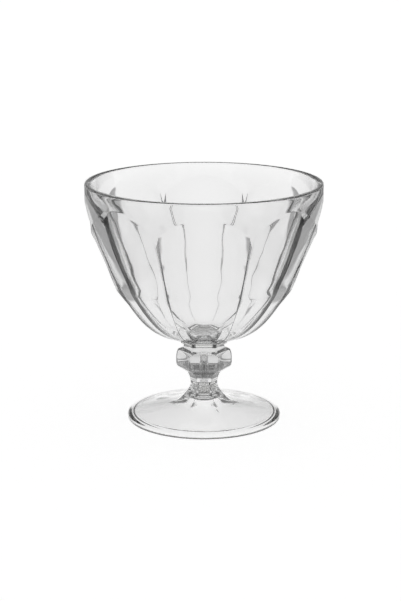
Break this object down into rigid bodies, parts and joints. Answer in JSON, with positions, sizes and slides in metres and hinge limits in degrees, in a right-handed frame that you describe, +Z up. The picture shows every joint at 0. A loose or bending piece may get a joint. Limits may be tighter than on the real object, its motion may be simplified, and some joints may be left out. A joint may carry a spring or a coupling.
{
  "type": "plastic sundae cup",
  "caption": "Clear plastic sundae cup: a wide bowl of arch-topped flat panels under a plain rim, on a six-sided stem with a knop and a round hollow foot.",
  "frame": {"origin": "on the table, under the cup's axis, at the level of the foot's standing ring", "axes": "+Z up along the cup's axis; -Y is the front, which a flat panel of the bowl and a flat of the stem both face; +X to the right"},
  "size_m": [0.102, 0.102, 0.1044],
  "materials": {
    "clear_plastic": "clear, water-white, polished in the mould",
    "clear_cement": "clear, cured in the joint"
  },
  "bodies": {
    "root": {"foot": "clear_plastic", "foot_cement": "clear_cement", "stem": "clear_plastic", "bowl_cement": "clear_cement", "bowl": "clear_plastic"}
  },
  "joints": []
}
